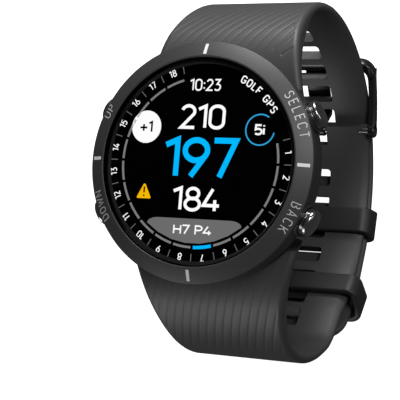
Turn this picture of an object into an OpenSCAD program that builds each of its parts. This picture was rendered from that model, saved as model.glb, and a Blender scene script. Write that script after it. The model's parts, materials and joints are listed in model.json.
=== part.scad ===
// Golf GPS watch on a buckled rubber strap, all sizes in millimetres.
// Origin: centre of the skin face of the case back. +Z leaves the dial, +Y is 12 o'clock,
// +X is 3 o'clock. The strap hangs below the case as one loop, closed by the tang buckle.
// Loop angles start at the 12 o'clock side (+Y): 90 is the bottom, 180 the 6 o'clock side.

/* [Case and bezel] */
// Outer radius of the bezel
bezel_r = 22; // [21:0.5:23]
// Inner radius of the bezel lip around the lens
lip_r = 18.95; // [18.9:0.05:19]
// Height of the bezel lip above the skin face
lip_z = 13.33; // [13.2:0.01:13.6]
// Height of the bezel's outer edge
edge_z = 12; // [11.9:0.1:12.1]
// Radius of the sealed space in the case
cavity_r = 18.7; // [18.6:0.1:18.8]
// Height of the ledge that the bezel sits on
ledge_z = 9.9; // [9.8:0.1:10]

/* [Display stack] */
// Radius of the lens
lens_r = 18.7; // [18.6:0.1:18.8]
// Height of the lens's lower face, just over the display
lens_z = 12.05; // [12:0.05:12.1]
// Thickness of the lens
lens_t = 1.15; // [1:0.05:1.2]
// Radius of the display module
display_r = 17.7; // [17:0.1:17.8]
// Thickness of the display module
display_t = 1.3; // [1:0.1:1.5]

/* [Buttons] */
// Radius of a button head
head_r = 2.5; // [2.3:0.1:2.6]
// Distance of a button's outer face from the dial axis
face_r = 23.7; // [23.4:0.1:24]
// Height of the button axes
button_z = 8; // [7.8:0.1:8.2]
// Radius of a button stem
stem_r = 0.9; // [0.85:0.05:0.95]
// Travel of a button
button_travel = 0.7; // [0.5:0.1:0.8]

/* [Strap] */
// Outer radius of the strap loop
loop_r = 35.8; // [35.6:0.1:36]
// Depth of the loop's centre below the skin face
loop_z = -17; // [-17.5:0.1:-16.5]
// Thickness of the strap where it runs free
strap_t = 2.3; // [2.2:0.1:2.4]
// Extra thickness of the strap where it meets the case
root_t = 2.3; // [2:0.1:2.6]
// Half width of the strap behind the wrist
band_w = 12; // [11.8:0.1:12.2]
// Space between the tail and the short strap under it
layer_gap = 0.3; // [0.25:0.05:0.35]
// Loop angle of the tail's tip
tail_end = 148; // [146:1:148]
// How far the tail's end stands away from the short strap
tail_lift = 1.4; // [1.2:0.1:1.4]
// Length of an adjusting slot along the strap
slot_l = 4; // [3.8:0.1:4]
// Half width of an adjusting slot
slot_w = 4.2; // [4:0.1:4.4]
// Loop angle of the first adjusting slot
slot_start = 20.1; // [19:0.1:20.1]
// Loop angle from one adjusting slot to the next
slot_pitch = 9.8; // [9.8:0.1:10]

/* [Buckle and keepers] */
// Loop angle of the buckle bar
bar_a = 63.2; // [63:0.1:63.4]
// Radius of the buckle bar
bar_r = 0.75; // [0.6:0.05:0.8]
// Loop angle of the buckle's far crossbar
cross_a = 41; // [36:0.5:42]
// Half width of the buckle frame
frame_w = 13.8; // [13.6:0.1:14]
// Half width of the tongue
tongue_w = 2.5; // [2.3:0.1:2.6]
// Loop angle of the fixed keeper's centre
keeper_fixed_a = 99.5; // [98:0.5:101]
// Loop angle of the free keeper's centre
keeper_free_a = 129.5; // [128:0.5:130]

/* [Hidden] */
$fn = 96;
fine_fn = 32;

// Clock angles of the buttons, clockwise from 12
select_a = 65;
back_a = 115;
down_a = 245;
up_a = 295;
button_angles = [select_a, back_a, down_a, up_a];

// Outside of the case as [radius, height] from the bezel down
case_side = [[21.7, 11.05], [21.4, 6], [20.65, 4], [19.4, 1.6], [18.9, 0.3]];
back_r = 17.6;
back_seat_z = 1.4;
screw_ring = 15.9;
screw_r = 0.7;

// Buttons: distances from the dial axis
boss_out = 21.9;
boss_r = 3.1;
pocket_floor = 20.2;
pocket_roof = 22.7;
skirt_end = 21;
stem_end = 17.3;
switch_face = stem_end - button_travel - 0.1;
clip_out = 18.5;
clip_t = 0.3;
stem_neck_r = 0.6;
ring_wire_r = 0.3;
coil_r = 1.45;
coil_wire_r = 0.15;
coil_turns = 3.5;

// Spring bars: places mirrored between 12 and 6 o'clock
bar_y = 23.2;
bar_z = 0.2;
ear_in = 8;
ear_out = 10.3;
ear_r = 1.3;
ear_root = 15.95;
tube_r = 0.75;
tube_bore = 0.5;
pin_r = 0.46;
pin_tip = 9.8;
pin_tail = 4.5;

// Strap layers behind the wrist, as distances from the loop's centre
tail_out = loop_r;
tail_in = loop_r - strap_t;
under_out = tail_in - layer_gap;
under_in = under_out - strap_t;
eye_r = 1.42;
bar_ring = under_out - 1.5;
cross_ring = loop_r + 1.35;
cross_r = 1.1;
keeper_t = 1.4;

function smooth(s) = let (c = min(1, max(0, s))) c * c * (3 - 2 * c);
function over(v) = max(0, v);
function loop_point(a, r) = [r * cos(a), loop_z - r * sin(a)];

// Outer surface and thickness of the long strap, from 12 o'clock round to its tip
function upper_out(a) = loop_r - 0.0014 * pow(over(15 - a), 2) - 0.0345 * pow(over(-35 - a), 1.5)
    + tail_lift * smooth((a - 112) / 24);
function upper_in(a) = upper_out(a) - strap_t - root_t * smooth((-12 - a) / 25);

// Outer surface and thickness of the short strap, from the buckle round to 6 o'clock
function lower_out(a) = loop_r - 0.0019 * pow(over(a - 165), 2) - 0.01 * pow(over(a - 215), 1.5)
    - (strap_t + layer_gap) * smooth((157 - a) / 18);
function lower_in(a) = lower_out(a) - strap_t - root_t * smooth((a - 192) / 25);

// Half widths of the two straps over their distance from the dial axis
function upper_w(y) = band_w + 0.165 * over(36 - y);
function lower_w(y) = band_w + 4 * pow(over(36 - y) / 18, 1.3);

// Extrudes a side view, drawn as [y, z], from -w to w along X
module along_x(w) {
    rotate([90, 0, 90]) linear_extrude(2 * w, center = true) children();
}

// Places children on the loop: +Y outwards from its centre, +Z against the loop angle
module on_loop(a, r) {
    translate([0, r * cos(a), loop_z - r * sin(a)]) rotate([-a, 0, 0]) children();
}

// Places children, drawn along +Z, on the radial axis of a button
module on_button(a) {
    rotate([0, 0, -a]) translate([0, 0, button_z]) rotate([-90, 0, 0]) children();
}

// Rod along X between two places in the side view
module rod(y, z, r, x0, x1) {
    translate([x0, y, z]) rotate([0, 90, 0]) cylinder(r = r, h = x1 - x0, $fn = fine_fn);
}

// Round wire ring about Z
module o_ring(ring_r, wire_r) {
    rotate_extrude($fn = 64) translate([ring_r, 0]) circle(wire_r, $fn = 24);
}

// Flat ring about Z
module washer(r_out, r_in, z, t) {
    translate([0, 0, z]) difference() {
        cylinder(r = r_out, h = t);
        translate([0, 0, -1]) cylinder(r = r_in, h = t + 2);
    }
}

// Round-wire compression spring along +Z
module coil_spring(r, wire_r, length, turns) {
    steps = round(turns * 14);
    sides = 6;
    pitch = (length - 2 * wire_r) / steps;
    points = [for (i = [0:steps], j = [0:sides - 1])
        let (t = i * 360 * turns / steps, s = j * 360 / sides, d = r + wire_r * cos(s))
        [d * cos(t), d * sin(t), wire_r + pitch * i + wire_r * sin(s)]];
    walls = [for (i = [0:steps - 1], j = [0:sides - 1])
        let (k = (j + 1) % sides)
        [i * sides + j, (i + 1) * sides + j, (i + 1) * sides + k, i * sides + k]];
    first = [for (j = [0:sides - 1]) j];
    last = [for (j = [sides - 1:-1:0]) steps * sides + j];
    polyhedron(points, concat(walls, [first, last]));
}

// Band between two radii that depend on the loop angle, as a side view
module band_outline(a0, a1, outer, inner) {
    steps = 60;
    angles = [for (i = [0:steps]) a0 + (a1 - a0) * i / steps];
    polygon(concat(
        [for (a = angles) loop_point(a, outer(a))],
        [for (i = [steps:-1:0]) loop_point(angles[i], inner(angles[i]))]));
}

// Space that the case takes out of the strap ends, widened by gap
module case_envelope(gap) {
    top = [case_side[0][0] + gap, 16];
    side = [for (p = case_side) [p[0] + gap, p[1]]];
    rotate_extrude() polygon(concat([[0, 16], top], side, [[18.9 + gap, -8], [0, -8]]));
}

// Ear pair and bore of one lug, at 12 o'clock
module lug_ears(grow) {
    for (side = [-1, 1]) {
        x0 = side > 0 ? ear_in - grow : -ear_out - grow;
        x1 = side > 0 ? ear_out + grow : -ear_in + grow;
        rod(bar_y, bar_z, ear_r + grow, x0, x1);
        translate([x0, ear_root, bar_z - ear_r - grow])
            cube([x1 - x0, bar_y - ear_root, 2 * (ear_r + grow)]);
    }
}

// ---- Watch head ----

module case_body() {
    color("#2b2b2d") difference() {
        union() {
            rotate_extrude() polygon(concat([[0, 11.05]], case_side, [[0, 0.3]]));
            for (a = button_angles) on_button(a) translate([0, 0, 17])
                cylinder(r = boss_r, h = boss_out - 17);
            for (m = [0, 1]) mirror([0, m, 0]) lug_ears(0);
        }
        translate([0, 0, ledge_z]) cylinder(r = 20, h = 3);
        translate([0, 0, back_seat_z]) difference() {
            cylinder(r = cavity_r, h = 10);
            for (i = [0:3]) rotate([0, 0, 45 + 90 * i]) translate([screw_ring, 0, -1])
                cylinder(r = 2, h = 4.2, $fn = fine_fn);
            difference() {
                translate([0, 0, -1]) cylinder(r = 20, h = 1.6);
                translate([0, 0, -2]) cylinder(r = 16.6, h = 4);
            }
        }
        translate([0, 0, -1]) cylinder(r = back_r + 0.2, h = back_seat_z + 1);
        translate([0, 0, -1]) cylinder(r = 16.6, h = back_seat_z + 2);
        translate([0, 0, back_seat_z]) rotate_extrude() translate([17.1, 0]) circle(0.42, $fn = 24);
        for (i = [0:3]) rotate([0, 0, 45 + 90 * i]) translate([screw_ring, 0, -1])
            cylinder(r = screw_r, h = 4.6, $fn = fine_fn);
        for (a = button_angles) on_button(a) {
            cylinder(r = stem_r + 0.05, h = 25, $fn = fine_fn);
            translate([0, 0, pocket_floor]) cylinder(r = head_r + 0.08, h = 5, $fn = 64);
            translate([0, 0, 19.1]) cylinder(r = 1.55, h = 0.7, $fn = fine_fn);
        }
        for (m = [0, 1]) mirror([0, m, 0]) rod(bar_y, bar_z, 0.5, -12, 12);
    }
}

module bezel() {
    color("#3c3c3e") difference() {
        rotate_extrude($fn = 180) polygon([
            [lip_r, 11.95], [lip_r, lip_z - 0.08], [lip_r + 0.08, lip_z], [lip_r + 0.3, lip_z],
            [bezel_r, edge_z + 0.05], [bezel_r, edge_z - 0.5], [bezel_r - 0.3, 11.1], [19.9, 11.1],
            [19.9, 10.1], [18.9, 10.1], [18.9, 11.35], [17.9, 11.35], [17.9, 11.95]
        ]);
        for (i = [0:3]) rotate([0, 0, 90 * i]) index_groove();
    }
}

// Shallow groove for the paint of one index bar
module index_groove() {
    slope = atan2(lip_z - edge_z - 0.05, bezel_r - lip_r - 0.3);
    translate([bezel_r, 0, edge_z + 0.05]) rotate([0, slope, 0])
        translate([-2.55, -0.32, -0.12]) cube([2.1, 0.64, 1]);
}

module bezel_gasket() {
    color("#151515") washer(19.8, 18.9, ledge_z, 0.2);
}

module lens() {
    color([0.1, 0.1, 0.12, 0.4]) translate([0, 0, lens_z]) rotate_extrude($fn = 180) polygon([
        [0, 0], [lens_r, 0], [lens_r, lens_t - 0.15], [lens_r - 0.15, lens_t], [0, lens_t]
    ]);
}

module lens_gasket() {
    color("#151515") washer(18.65, 17.95, 11.95, lens_z - 11.95);
}

module display_module() {
    color("#050505") translate([0, 0, 12 - display_t]) cylinder(r = display_r, h = display_t);
}

module display_bracket() {
    color("#777777") difference() {
        translate([0, 0, 8.2]) cylinder(r = 17.6, h = 12 - display_t - 8.2);
        translate([0, 0, 8.9]) cylinder(r = 16.6, h = 5);
        translate([0, 0, 6]) cylinder(r = 14.5, h = 5);
        translate([-3.2, -18, 6]) cube([6.4, 4.5, 6]);
        for (a = button_angles) on_button(a) translate([0, 0, 13]) cylinder(r = 2.4, h = 6);
    }
}

module display_flex() {
    color("#b5651d") {
        translate([-3, -17.1, 7.7]) cube([6, 0.2, 12 - display_t - 7.7]);
        translate([-3, -17.1, 7.5]) cube([6, 5, 0.2]);
    }
}

module main_board() {
    color("#0b5d3b") difference() {
        translate([0, 0, 6]) cylinder(r = 17.4, h = 0.8);
        for (a = button_angles) rotate([0, 0, -a]) translate([-2.3, 16, 5]) cube([4.6, 3, 3]);
    }
    color("#222222") {
        translate([-11, -9.5, 6.8]) cube([4, 4, 0.7]);
        translate([7, -10, 6.8]) cube([3, 4.5, 0.6]);
        translate([-3, -13.5, 6.8]) cube([6, 2, 0.7]);
    }
}

module board_shield() {
    color("silver") difference() {
        translate([-5, -8.5, 6.8]) cube([10.5, 8, 1.1]);
        translate([-4.8, -8.3, 6]) cube([10.1, 7.6, 1.7]);
    }
}

module gps_antenna() {
    color("#d8cdb4") translate([-6, 0.9, 6.8]) cube([12, 12, 2]);
    color("silver") translate([-4.5, 2.4, 8.8]) cube([9, 9, 0.1]);
}

module tag_reader_coil() {
    color("#b87333") for (r = [12.6:0.5:14.1]) washer(r + 0.3, r, 9.2, 0.15);
    color("#b5651d") washer(14.45, 12.5, 9.05, 0.15);
}

module battery() {
    color("#9aa0a6") translate([-9, -11.5, 1.7]) cube([18, 17.5, 3.9]);
}

module motor_can() {
    color("silver") translate([0, 10.6, 0]) difference() {
        translate([0, 0, 1.9]) cylinder(r = 4, h = 2.7, $fn = 64);
        translate([0, 0, 2.1]) difference() {
            cylinder(r = 3.8, h = 2.3, $fn = 64);
            translate([0, 0, -1]) cylinder(r = 0.4, h = 5, $fn = fine_fn);
        }
    }
}

module motor_weight() {
    color("#6b6f75") translate([0, 10.6, 2.6]) difference() {
        union() {
            intersection() {
                cylinder(r = 3.4, h = 1.3, $fn = 64);
                translate([-5, -0.3, 0]) cube([10, 5, 2]);
            }
            cylinder(r = 1.1, h = 1.3, $fn = fine_fn);
        }
        translate([0, 0, -1]) cylinder(r = 0.46, h = 4, $fn = fine_fn);
    }
}

module tact_switches() {
    for (a = button_angles) rotate([0, 0, -a]) {
        color("#202020") translate([-2, switch_face - 2.6, 6.85]) cube([4, 1.9, 2.1]);
        color("silver") translate([0, switch_face - 0.8, button_z]) rotate([-90, 0, 0])
            cylinder(r = 0.8, h = 0.8, $fn = fine_fn);
    }
}

module case_back() {
    color("#3a3b3e") difference() {
        union() {
            cylinder(r1 = back_r - 0.5, r2 = back_r, h = 0.5);
            translate([0, 0, 0.5]) cylinder(r = back_r, h = back_seat_z - 0.5);
            translate([0, 0, 1.3]) cylinder(r = 16.3, h = 0.4);
        }
        for (i = [0:3]) rotate([0, 0, 45 + 90 * i]) translate([screw_ring, 0, 0]) {
            translate([0, 0, -1]) cylinder(r = 0.9, h = 5, $fn = fine_fn);
            translate([0, 0, -1]) cylinder(r = 1.4, h = 1.7, $fn = fine_fn);
            translate([0, 0, 1.38]) cylinder(r = 2.15, h = 1, $fn = fine_fn);
        }
        for (i = [0:3]) translate([2.5 * i - 3.75, -7, -1]) cylinder(r = 0.85, h = 5, $fn = fine_fn);
        translate([0, 0, back_seat_z]) rotate_extrude() translate([17.1, 0]) circle(0.42, $fn = 24);
        translate([0, 0, -1]) difference() {
            cylinder(r = 13.6, h = 1.12);
            translate([0, 0, -1]) cylinder(r = 13, h = 4);
        }
    }
}

module case_back_seal() {
    color("#101010") translate([0, 0, back_seat_z]) o_ring(17.1, 0.4);
}

module case_screws() {
    color("#8b8f94") for (i = [0:3]) rotate([0, 0, 45 + 90 * i]) translate([screw_ring, 0, 0])
        difference() {
            union() {
                translate([0, 0, 0.1]) cylinder(r = 1.3, h = 0.6, $fn = fine_fn);
                translate([0, 0, 0.1]) cylinder(r = screw_r, h = 3.2, $fn = fine_fn);
            }
            translate([0, 0, 0]) cylinder(r = 0.45, h = 0.45, $fn = 6);
        }
}

module charge_contacts() {
    color("#d4af37") for (i = [0:3]) translate([2.5 * i - 3.75, -7, 0.05])
        cylinder(r = 0.85, h = 1.6, $fn = fine_fn);
}

module button_o_rings() {
    color("#101010") for (a = button_angles) on_button(a) translate([0, 0, 19.45])
        o_ring(stem_r + ring_wire_r + 0.02, ring_wire_r);
}

// Button head with a rounded rim, its spring pocket, and its stem
module pusher(a) {
    color("#8d9094") on_button(a) difference() {
        union() {
            rotate_extrude($fn = 64) polygon(concat(
                [[0, skirt_end], [head_r, skirt_end]],
                [for (t = [0:15:90])
                    [head_r - 0.5 + 0.5 * cos(t), face_r - 0.5 + 0.5 * sin(t)]],
                [[0, face_r]]));
            translate([0, 0, stem_end]) cylinder(r = stem_r, h = 5, $fn = fine_fn);
        }
        difference() {
            translate([0, 0, skirt_end - 1]) cylinder(r = 1.9, h = pocket_roof - skirt_end + 1, $fn = 48);
            translate([0, 0, 16]) cylinder(r = stem_r, h = 8, $fn = fine_fn);
        }
        translate([0, 0, clip_out - clip_t]) difference() {
            cylinder(r = 2, h = clip_t, $fn = fine_fn);
            translate([0, 0, -1]) cylinder(r = stem_neck_r, h = 3, $fn = fine_fn);
        }
    }
}

module return_spring(a) {
    color("#c8ccd0") on_button(a) translate([0, 0, pocket_floor])
        coil_spring(coil_r, coil_wire_r, pocket_roof - pocket_floor, coil_turns);
}

module retaining_clip(a) {
    color("#5a5d60") on_button(a) translate([0, 0, clip_out - clip_t]) difference() {
        cylinder(r = 1.6, h = clip_t, $fn = fine_fn);
        translate([0, 0, -1]) cylinder(r = stem_neck_r, h = 2, $fn = fine_fn);
        translate([-0.5, 0, -1]) cube([1, 3, 2]);
    }
}

module button_select() { pusher(select_a); }
module button_back() { pusher(back_a); }
module button_down() { pusher(down_a); }
module button_up() { pusher(up_a); }
module spring_select() { return_spring(select_a); }
module spring_back() { return_spring(back_a); }
module spring_down() { return_spring(down_a); }
module spring_up() { return_spring(up_a); }
module clip_select() { retaining_clip(select_a); }
module clip_back() { retaining_clip(back_a); }
module clip_down() { retaining_clip(down_a); }
module clip_up() { retaining_clip(up_a); }

// ---- Straps ----

// Slot through the strap, across its width
module slot_cut(a, r, w, l) {
    on_loop(a, r) cube([2 * w, 8, l], center = true);
}

// Cut around the case, the lug ears and the spring bar, at 12 o'clock
module root_cut() {
    case_envelope(0.35);
    lug_ears(0.35);
    rod(bar_y, bar_z, tube_r + 0.05, -ear_in, ear_in);
}

module strap_upper() {
    color("#4a4a4b") difference() {
        intersection() {
            along_x(20) band_outline(-55, tail_end, function (a) upper_out(a), function (a) upper_in(a));
            union() {
                translate([0, 0, -20]) linear_extrude(40) polygon(concat(
                    [for (y = [12:4:36]) [upper_w(y), y]], [for (y = [36:-4:12]) [-upper_w(y), y]]));
                translate([-band_w, -40, -70]) cube([2 * band_w, 80, 60]);
            }
        }
        root_cut();
        for (i = [0:9]) slot_cut(slot_start + slot_pitch * i, loop_r - strap_t / 2, slot_w, slot_l);
        for (side = [-1, 1]) on_loop(tail_end, loop_r) rotate([0, side * 45, 0])
            translate([0, 0, -13.2]) cube([30, 12, 6], center = true);
    }
}

module strap_lower() {
    color("#4a4a4b") difference() {
        union() {
            intersection() {
                along_x(20) band_outline(bar_a, 235, function (a) lower_out(a), function (a) lower_in(a));
                union() {
                    translate([0, 0, -20]) linear_extrude(40) polygon(concat(
                        [for (y = [-12:-4:-36]) [lower_w(-y), y]],
                        [for (y = [-36:4:-12]) [-lower_w(-y), y]]));
                    translate([-band_w, -40, -70]) cube([2 * band_w, 80, 53]);
                }
            }
            on_loop(bar_a, bar_ring) rod(0, 0, eye_r, -band_w + 0.4, band_w - 0.4);
        }
        mirror([0, 1, 0]) root_cut();
        on_loop(bar_a, bar_ring) rod(0, 0, bar_r + 0.05, -20, 20);
        on_loop(bar_a, bar_ring) cube([2 * tongue_w + 0.8, 5, 5.4], center = true);
        for (i = [0:5]) slot_cut(82.4 + 10.8 * i, loop_r - 1.5 * strap_t, 3.5, 3.6);
        slot_cut(146.5, loop_r - 1.5 * strap_t, 3.6, 4.6);
    }
}

// Spring bar tube between the ears, drilled for its two pins
module bar_tube() {
    color("#9fa3a8") difference() {
        rod(bar_y, bar_z, tube_r, -7.9, 7.9);
        rod(bar_y, bar_z, tube_bore, -9, 9);
    }
}

module bar_pin(side) {
    x0 = side > 0 ? pin_tail : -pin_tip;
    x1 = side > 0 ? pin_tip : -pin_tail;
    color("#c8ccd0") rod(bar_y, bar_z, pin_r, x0, x1);
}

module bar_coil() {
    color("#c8ccd0") translate([-pin_tail, bar_y, bar_z]) rotate([0, 90, 0])
        coil_spring(0.32, 0.1, 2 * pin_tail, 8);
}

module spring_bar_upper() { bar_tube(); }
module bar_spring_upper() { bar_coil(); }
module pin_upper_left() { bar_pin(-1); }
module pin_upper_right() { bar_pin(1); }
module spring_bar_lower() { mirror([0, 1, 0]) bar_tube(); }
module bar_spring_lower() { mirror([0, 1, 0]) bar_coil(); }
module pin_lower_left() { mirror([0, 1, 0]) bar_pin(-1); }
module pin_lower_right() { mirror([0, 1, 0]) bar_pin(1); }

// ---- Keepers and buckle ----

// Band around both layers, centred on a loop angle and half_a to each side, with its opening
// wider than the strap by side_gap on each side, and reaching out_gap beyond the tail
module keeper(a, half_a, side_gap, out_gap, in_gap) {
    opening_out = tail_out + out_gap;
    opening_in = under_in - in_gap;
    opening_w = band_w + side_gap;
    color("#464647") difference() {
        along_x(opening_w + keeper_t) band_outline(a - half_a, a + half_a,
            function (t) opening_out + keeper_t, function (t) opening_in - keeper_t);
        along_x(opening_w) band_outline(a - half_a - 2, a + half_a + 2,
            function (t) opening_out, function (t) opening_in);
        for (side = [-1, 1]) on_loop(a, opening_out + keeper_t)
            translate([side * (opening_w + keeper_t), 0, 0]) rotate([0, 0, 45])
                cube([1.5, 1.5, 12], center = true);
    }
}

module keeper_fixed() { keeper(keeper_fixed_a, 5.2, 0.05, 0.25, 0.05); }
module keeper_free() { keeper(keeper_free_a, 4.6, 0.8, 1.7, 0.25); }

// Side rail of the buckle, leaning out from the bar to the crossbar
module frame_rail() {
    mid = function (a) bar_ring + (cross_ring - bar_ring) * (bar_a - a) / (bar_a - cross_a);
    band_outline(cross_a, bar_a, function (a) mid(a) + 1.3, function (a) mid(a) - 1.1);
    translate(loop_point(bar_a, bar_ring)) circle(1.5, $fn = 48);
    translate(loop_point(cross_a, cross_ring)) circle(cross_r, $fn = 48);
}

module buckle_frame() {
    color("#1a1a1c") difference() {
        union() {
            for (side = [-1, 1]) translate([side * (frame_w - 0.7), 0, 0]) along_x(0.7) frame_rail();
            on_loop(cross_a, cross_ring) rod(0, 0, cross_r, -frame_w, frame_w);
        }
        on_loop(bar_a, bar_ring) rod(0, 0, bar_r, -frame_w + 0.5, frame_w - 0.5);
        on_loop(cross_a, cross_ring + 0.9) cube([2 * tongue_w + 0.6, 1.4, 4], center = true);
    }
}

module buckle_bar() {
    color("#9fa3a8") on_loop(bar_a, bar_ring) rod(0, 0, bar_r, -frame_w + 0.5, frame_w - 0.5);
}

// Tongue: up from the bar through a slot, then along the strap to the crossbar
module tongue() {
    path = [
        loop_point(bar_a, bar_ring), loop_point(60.7, under_out + 0.1), loop_point(59.6, tail_out + 0.6),
        loop_point(57, tail_out + 1.15), loop_point(48, tail_out + 1.55),
        loop_point(cross_a - 1.4, tail_out + 2.5)
    ];
    half_t = [0.75, 0.5, 0.5, 0.55, 0.5, 0.45];
    color("#1a1a1c") difference() {
        union() {
            along_x(tongue_w) for (i = [0:len(path) - 2]) hull() {
                translate(path[i]) circle(half_t[i], $fn = 24);
                translate(path[i + 1]) circle(half_t[i + 1], $fn = 24);
            }
            on_loop(bar_a, bar_ring) rod(0, 0, 1.3, -tongue_w, tongue_w);
        }
        on_loop(bar_a, bar_ring) rod(0, 0, bar_r + 0.05, -5, 5);
    }
}

case_body();
bezel();
bezel_gasket();
lens();
lens_gasket();
display_module();
display_bracket();
display_flex();
main_board();
board_shield();
gps_antenna();
tag_reader_coil();
battery();
motor_can();
motor_weight();
tact_switches();
case_back();
case_back_seal();
case_screws();
charge_contacts();
button_o_rings();
button_select();
button_back();
button_down();
button_up();
spring_select();
spring_back();
spring_down();
spring_up();
clip_select();
clip_back();
clip_down();
clip_up();
strap_upper();
spring_bar_upper();
bar_spring_upper();
pin_upper_left();
pin_upper_right();
strap_lower();
spring_bar_lower();
bar_spring_lower();
pin_lower_left();
pin_lower_right();
keeper_fixed();
keeper_free();
buckle_frame();
buckle_bar();
tongue();
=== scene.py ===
import json
import math

import bmesh
import bpy
import numpy as np
from mathutils import Matrix, Vector


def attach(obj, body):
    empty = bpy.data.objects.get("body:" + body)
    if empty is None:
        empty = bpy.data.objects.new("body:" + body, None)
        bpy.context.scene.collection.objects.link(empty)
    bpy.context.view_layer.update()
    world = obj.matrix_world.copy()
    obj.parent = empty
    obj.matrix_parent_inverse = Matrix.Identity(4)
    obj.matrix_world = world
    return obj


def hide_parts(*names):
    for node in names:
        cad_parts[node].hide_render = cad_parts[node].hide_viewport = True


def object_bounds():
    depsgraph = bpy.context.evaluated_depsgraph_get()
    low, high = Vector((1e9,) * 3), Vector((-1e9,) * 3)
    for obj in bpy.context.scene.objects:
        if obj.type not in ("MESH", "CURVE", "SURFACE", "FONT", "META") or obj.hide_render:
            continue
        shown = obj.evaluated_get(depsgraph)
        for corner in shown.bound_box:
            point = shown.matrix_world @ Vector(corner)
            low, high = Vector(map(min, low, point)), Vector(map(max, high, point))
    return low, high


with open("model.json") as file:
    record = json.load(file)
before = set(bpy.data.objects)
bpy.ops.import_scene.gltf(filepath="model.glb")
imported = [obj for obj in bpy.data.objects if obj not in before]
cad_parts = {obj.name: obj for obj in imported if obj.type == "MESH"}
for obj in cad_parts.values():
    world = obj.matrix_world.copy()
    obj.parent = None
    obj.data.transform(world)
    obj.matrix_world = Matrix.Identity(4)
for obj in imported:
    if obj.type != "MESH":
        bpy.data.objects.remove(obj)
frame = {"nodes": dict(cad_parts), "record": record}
cad_lo, cad_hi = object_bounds()

# Lengths are in millimetres in the row frame, and MM turns them into Blender's metres.
MM = 0.001

# Watch head
BEZEL_R = 22.0
LIP_R = 18.95
LIP_Z = 13.33
EDGE_Z = 12.05
CONE_TOP_R = LIP_R + 0.3
SCREEN_Z = 12.0
LENS_R = 18.7
BUTTON_Z = 8.0
BUTTON_ANGLES = {"select": 65, "back": 115, "down": 245, "up": 295}

# Strap loop: centre height, outer radius, thickness, half width
LOOP_Z = -17.0
LOOP_R = 35.8
STRAP_T = 2.3
ROOT_T = 2.3
LAYER_GAP = 0.3
BAND_W = 12.0
TAIL_END = 148.0
TAIL_LIFT = 1.4
TAIL_IN = LOOP_R - STRAP_T
UNDER_OUT = TAIL_IN - LAYER_GAP
UNDER_IN = UNDER_OUT - STRAP_T
BAR_Y = 23.2
BAR_Z = 0.2
BAR_HOLE_R = 0.8

# Slots: loop angle of the first one, pitch, count, half width, half length
LONG_SLOTS = (20.1, 9.8, 10, 4.2, 2.0)
SHORT_SLOTS = (82.4, 10.8, 6, 3.5, 1.8)
END_SLOT = (146.5, 0, 1, 3.6, 2.3)

# Keepers: loop angle, half length in degrees, side gap, outer gap, inner gap
KEEPER_FIXED = (99.5, 5.2, 0.05, 0.25, 0.05)
KEEPER_FREE = (129.5, 4.6, 0.8, 1.7, 0.25)

# Buckle
BAR_A = 63.2
BAR_RING = UNDER_OUT - 1.5
CROSS_A = 41
CROSS_RING = LOOP_R + 1.35
FRAME_W = 13.8
TONGUE_W = 2.5


def rad(angle):
    return math.radians(angle)


def smooth(s):
    s = min(1.0, max(0.0, s))
    return s * s * (3 - 2 * s)


def over(v):
    return max(0.0, v)


# ---- Camera, light and floor ----


def look_from(eye, aim, roll, lens):
    """Camera at eye that looks at aim, turned by roll degrees about its own axis."""
    forward = (Vector(aim) - Vector(eye)).normalized()
    side = forward.cross(Vector((0, 1, 0))).normalized()
    rise = side.cross(forward)
    right = side * math.cos(rad(roll)) + rise * math.sin(rad(roll))
    up = rise * math.cos(rad(roll)) - side * math.sin(rad(roll))
    data = bpy.data.cameras.new("camera")
    data.sensor_width = 36
    data.lens = lens
    data.clip_start = 0.01
    data.clip_end = 5
    camera = bpy.data.objects.new("camera", data)
    bpy.context.scene.collection.objects.link(camera)
    turn = Matrix((right, up, -forward)).transposed().to_4x4()
    camera.matrix_world = Matrix.Translation(Vector(eye) * MM) @ turn
    bpy.context.scene.camera = camera


def area_light(name, place, aim, size, power):
    """Soft square light at place that shines at aim."""
    data = bpy.data.lights.new(name, "AREA")
    data.shape = "SQUARE"
    data.size = size * MM
    data.energy = power
    light = bpy.data.objects.new(name, data)
    bpy.context.scene.collection.objects.link(light)
    back = (Vector(place) - Vector(aim)).normalized()
    turn = back.to_track_quat("Z", "Y").to_matrix().to_4x4()
    light.matrix_world = Matrix.Translation(Vector(place) * MM) @ turn


def studio():
    """Pale floor just under the loop, a grey sky, and four soft lights."""
    floor_z = cad_lo.z - 2 * MM
    reach = 1.5
    corners = [(-reach, -reach), (reach, -reach), (reach, reach), (-reach, reach)]
    mesh = bpy.data.meshes.new("floor")
    mesh.from_pydata([(x, y, floor_z) for x, y in corners], [], [(0, 1, 2, 3)])
    floor = bpy.data.objects.new("floor", mesh)
    bpy.context.scene.collection.objects.link(floor)
    paper = surface("floor_paper", (0.8, 0.8, 0.8), 0.9, grain=900, tint=0.02)
    shader = paper.node_tree.nodes["Principled BSDF"]
    shader.inputs["Emission Color"].default_value = (1, 1, 1, 1)
    shader.inputs["Emission Strength"].default_value = 0.9
    paper.cycles.emission_sampling = "NONE"
    mesh.materials.append(paper)
    floor.visible_diffuse = False
    floor.visible_glossy = False

    world = bpy.data.worlds.new("studio")
    bpy.context.scene.world = world
    world.use_nodes = True
    sky = world.node_tree.nodes["Background"]
    sky.inputs["Color"].default_value = (0.9, 0.9, 0.9, 1)
    sky.inputs["Strength"].default_value = 0.06

    area_light("key", (10, 320, 90), (5, 10, 0), 140, 1.15)
    area_light("fill", (230, 130, 300), (0, 0, 0), 120, 0.62)
    area_light("side", (330, 60, 60), (0, 0, -20), 120, 0.12)
    area_light("low", (-150, -290, 60), (0, 0, -10), 160, 0.32)


# ---- Materials ----


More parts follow.
